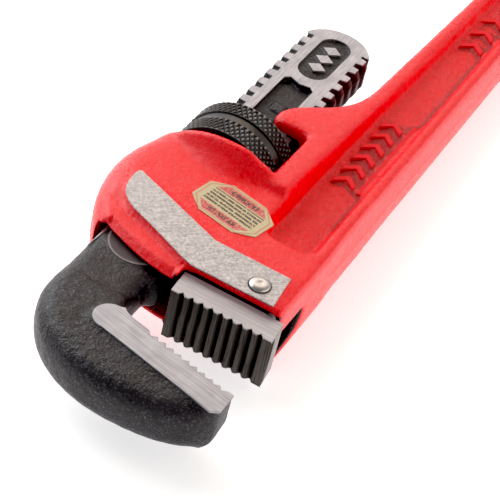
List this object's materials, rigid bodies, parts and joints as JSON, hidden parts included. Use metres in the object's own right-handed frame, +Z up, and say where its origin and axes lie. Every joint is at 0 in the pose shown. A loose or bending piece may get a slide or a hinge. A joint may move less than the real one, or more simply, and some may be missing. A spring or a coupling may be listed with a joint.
{
  "type": "pipe wrench",
  "caption": "Straight pipe wrench with a toothed heel jaw, a sliding threaded hook jaw, a knurled adjusting nut and an I-section handle, lying on its side.",
  "frame": {"origin": "centre of the bottom of the bounding box, the wrench lying on its side", "axes": "+X along the handle towards its end, +Y towards the spine side of the head, +Z up through the thickness"},
  "size_m": [0.3146, 0.0786, 0.038],
  "materials": {
    "red_paint": "glossy red enamel over a sand casting, ground bare on the side strips",
    "heel_steel": "ground faces, dark heat-treated teeth",
    "bright_steel": "polished rivet head",
    "black_forging": "black oxide on a forging, ground bare on the grip strips and the shank flats",
    "black_nut": "black oxide over two knurled bands",
    "spring_steel": "dark spring steel",
    "label": "cream octagon with a thin border, red patches and plain bars"
  },
  "bodies": {
    "housing": {"housing_handle": "red_paint", "heel_jaw": "heel_steel", "heel_jaw_pin": "bright_steel", "side_label": "label"},
    "spring_assembly": {"flat_spring": "spring_steel", "spring_rivet": "spring_steel", "coil_spring": "spring_steel"},
    "nut": {"adjusting_nut": "black_nut"},
    "hook": {"hook_jaw": "black_forging"}
  },
  "joints": [
    {"name": "hook_rock", "type": "hinge", "parent": "housing", "child": "spring_assembly", "pos_m": [-0.0427, 0.01381, 0.019], "axis": [0, 0, 1], "range_deg": [-0.6, 1.4], "stiffness_Nm_per_rad": 30},
    {"name": "nut_spin", "type": "hinge", "parent": "spring_assembly", "child": "nut", "pos_m": [-0.0427, 0.01381, 0.019], "axis": [1, 0, 0], "range_deg": [-780, 2420]},
    {"name": "jaw_slide", "type": "slide", "parent": "spring_assembly", "child": "hook", "axis": [1, 0, 0], "range_m": [-0.042, 0.0135]}
  ],
  "couplings": [
    {"joint": "nut_spin", "follows": "jaw_slide", "rad_per_m": -1000.5}
  ]
}
